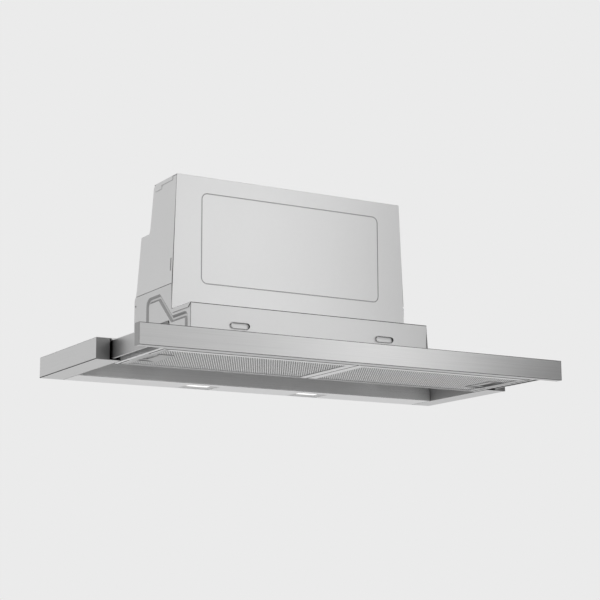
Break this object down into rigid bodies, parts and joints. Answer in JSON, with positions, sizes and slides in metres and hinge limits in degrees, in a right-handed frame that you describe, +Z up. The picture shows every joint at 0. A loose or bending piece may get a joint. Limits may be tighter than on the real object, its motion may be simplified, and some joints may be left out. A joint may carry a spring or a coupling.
{
  "type": "pull-out range hood",
  "caption": "Slim wall-cabinet range hood with a filter drawer pulled out behind a brushed front bar, grease filters, lamps, fan and a top air outlet.",
  "frame": {"origin": "centre of the underside, midway between the pulled-out bar and the wall", "axes": "+X along the front bar to the right, +Y from the bar to the wall, +Z up"},
  "size_m": [0.898, 0.452, 0.385],
  "materials": {
    "stainless": "brushed along the bar",
    "galvanised": "smooth zinc-coated sheet",
    "slide_steel": "cold-rolled",
    "spring_steel": "bare spring steel",
    "screw_steel": "zinc-plated",
    "filter_steel": "satin",
    "filter_mesh": "expanded and rolled",
    "lamp_surround": "satin",
    "lamp_lens": "frosted",
    "black_plastic": "fine grain",
    "motor_metal": "satin",
    "white_plastic": "fine grain",
    "magnet": "dull",
    "key_plastic": "satin"
  },
  "bodies": {
    "housing": {"end_cap_left": "stainless", "end_cap_right": "stainless", "light_strip": "stainless", "tray_deck": "galvanised", "chamber_front": "galvanised", "chamber_side_left": "galvanised", "chamber_side_right": "galvanised", "chamber_rear": "galvanised", "motor_cover": "galvanised", "motor_side_left": "galvanised", "motor_side_right": "galvanised", "motor_rear_left": "galvanised", "motor_rear_right": "galvanised", "outlet_block": "galvanised", "top_plate": "galvanised", "slide_outer_left": "slide_steel", "slide_outer_right": "slide_steel", "motor_bracket": "slide_steel", "side_clip_left": "spring_steel", "side_clip_right": "spring_steel", "rear_screws": "screw_steel", "lamp_housing_left": "lamp_surround", "lamp_housing_right": "lamp_surround", "lamp_lens_left": "lamp_lens", "lamp_lens_right": "lamp_lens", "outlet_collar": "black_plastic", "outlet_duct": "black_plastic", "scroll_wrap": "black_plastic", "scroll_side_left": "black_plastic", "scroll_side_right": "black_plastic", "mains_gland": "black_plastic", "motor": "motor_metal", "electronics_box": "white_plastic", "capacitor": "white_plastic", "reed_switch": "white_plastic"},
    "drawer": {"front_bar": "stainless", "bar_end_left": "stainless", "bar_end_right": "stainless", "side_panel_left": "stainless", "side_panel_right": "stainless", "drawer_top": "galvanised", "filter_frame": "stainless", "switch_block": "black_plastic", "slide_inner_left": "slide_steel", "slide_inner_right": "slide_steel", "drawer_magnet": "magnet"},
    "slide_middle_left": {"slide_middle_left": "slide_steel"},
    "slide_middle_right": {"slide_middle_right": "slide_steel"},
    "filter_left": {"filter_left": "filter_steel", "filter_left_mesh": "filter_mesh"},
    "filter_right": {"filter_right": "filter_steel", "filter_right_mesh": "filter_mesh"},
    "catch_left": {"catch_left": "filter_steel"},
    "catch_right": {"catch_right": "filter_steel"},
    "fan": {"fan_wheel": "black_plastic", "motor_shaft": "slide_steel"},
    "key_light": {"key_light": "key_plastic"},
    "key_low": {"key_low": "key_plastic"},
    "key_medium": {"key_medium": "key_plastic"},
    "key_high": {"key_high": "key_plastic"}
  },
  "joints": [
    {"name": "drawer_slide", "type": "slide", "parent": "housing", "child": "drawer", "axis": [0, 1, 0], "range_m": [0, 0.162]},
    {"name": "slide_middle_left_slide", "type": "slide", "parent": "housing", "child": "slide_middle_left", "axis": [0, 1, 0], "range_m": [0, 0.081]},
    {"name": "slide_middle_right_slide", "type": "slide", "parent": "housing", "child": "slide_middle_right", "axis": [0, 1, 0], "range_m": [0, 0.081]},
    {"name": "filter_left_tilt", "type": "hinge", "parent": "drawer", "child": "filter_left", "pos_m": [-0.004, -0.107, 0.0025], "axis": [0, -1, 0], "range_deg": [0, 35]},
    {"name": "filter_right_tilt", "type": "hinge", "parent": "drawer", "child": "filter_right", "pos_m": [0.004, -0.107, 0.0025], "axis": [0, 1, 0], "range_deg": [0, 35]},
    {"name": "catch_left_slide", "type": "slide", "parent": "filter_left", "child": "catch_left", "axis": [1, 0, 0], "range_m": [0, 0.004], "stiffness_N_per_m": 300},
    {"name": "catch_right_slide", "type": "slide", "parent": "filter_right", "child": "catch_right", "axis": [-1, 0, 0], "range_m": [0, 0.004], "stiffness_N_per_m": 300},
    {"name": "fan_spin", "type": "hinge", "parent": "housing", "child": "fan", "pos_m": [0, 0.119, 0.243], "axis": [1, 0, 0], "continuous": true},
    {"name": "key_light_press", "type": "slide", "parent": "drawer", "child": "key_light", "axis": [0, 0, -1], "range_m": [0, 0.0015], "stiffness_N_per_m": 600},
    {"name": "key_low_press", "type": "slide", "parent": "drawer", "child": "key_low", "axis": [0, 0, -1], "range_m": [0, 0.0015], "stiffness_N_per_m": 600},
    {"name": "key_medium_press", "type": "slide", "parent": "drawer", "child": "key_medium", "axis": [0, 0, -1], "range_m": [0, 0.0015], "stiffness_N_per_m": 600},
    {"name": "key_high_press", "type": "slide", "parent": "drawer", "child": "key_high", "axis": [0, 0, -1], "range_m": [0, 0.0015], "stiffness_N_per_m": 600}
  ],
  "couplings": [
    {"joint": "slide_middle_left_slide", "follows": "drawer_slide", "ratio": 0.5},
    {"joint": "slide_middle_right_slide", "follows": "drawer_slide", "ratio": 0.5}
  ]
}
